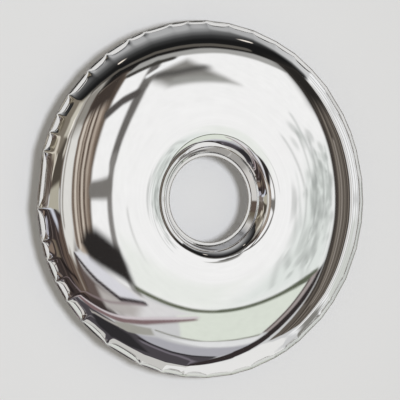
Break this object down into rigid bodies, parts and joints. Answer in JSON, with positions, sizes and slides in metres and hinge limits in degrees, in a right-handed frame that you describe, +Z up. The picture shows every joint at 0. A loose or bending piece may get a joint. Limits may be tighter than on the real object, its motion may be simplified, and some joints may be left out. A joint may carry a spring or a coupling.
{
  "type": "wall mirror",
  "caption": "Round ring-shaped wall mirror of polished steel sheet, swollen with air between a crimped rim and a centre hole, hung on a wall rail.",
  "frame": {"origin": "centre of the wall rail's back face, on the wall", "axes": "+Z up, +Y into the wall, -Y towards the room, +X to the right as seen from the room"},
  "size_m": [0.7499, 0.1385, 0.75],
  "materials": {
    "polished_steel": "mirror polished stainless steel",
    "weld_steel": "fine weld bead, lightly brushed",
    "satin_steel": "satin stainless steel",
    "plug_steel": "turned stainless steel",
    "zinc_steel": "bright zinc plate",
    "bumper_rubber": "matte",
    "seal_rubber": "matte"
  },
  "bodies": {
    "rail": {"wall_rail": "satin_steel", "wall_screws": "zinc_steel", "screw_washers": "zinc_steel"},
    "ring": {"front_sheet": "polished_steel", "rear_sheet": "polished_steel", "rim_weld": "weld_steel", "hole_weld": "weld_steel", "inflation_boss": "satin_steel", "boss_weld": "weld_steel", "valve_plug": "plug_steel", "plug_seal": "seal_rubber", "hook_plate": "satin_steel", "hook_welds": "weld_steel", "bumper_stud_left": "satin_steel", "bumper_stud_right": "satin_steel", "bumper_left": "bumper_rubber", "bumper_right": "bumper_rubber"}
  },
  "joints": [
    {"name": "lift_off", "type": "slide", "parent": "rail", "child": "ring", "axis": [0, 0, 1], "range_m": [0, 0.025]}
  ]
}
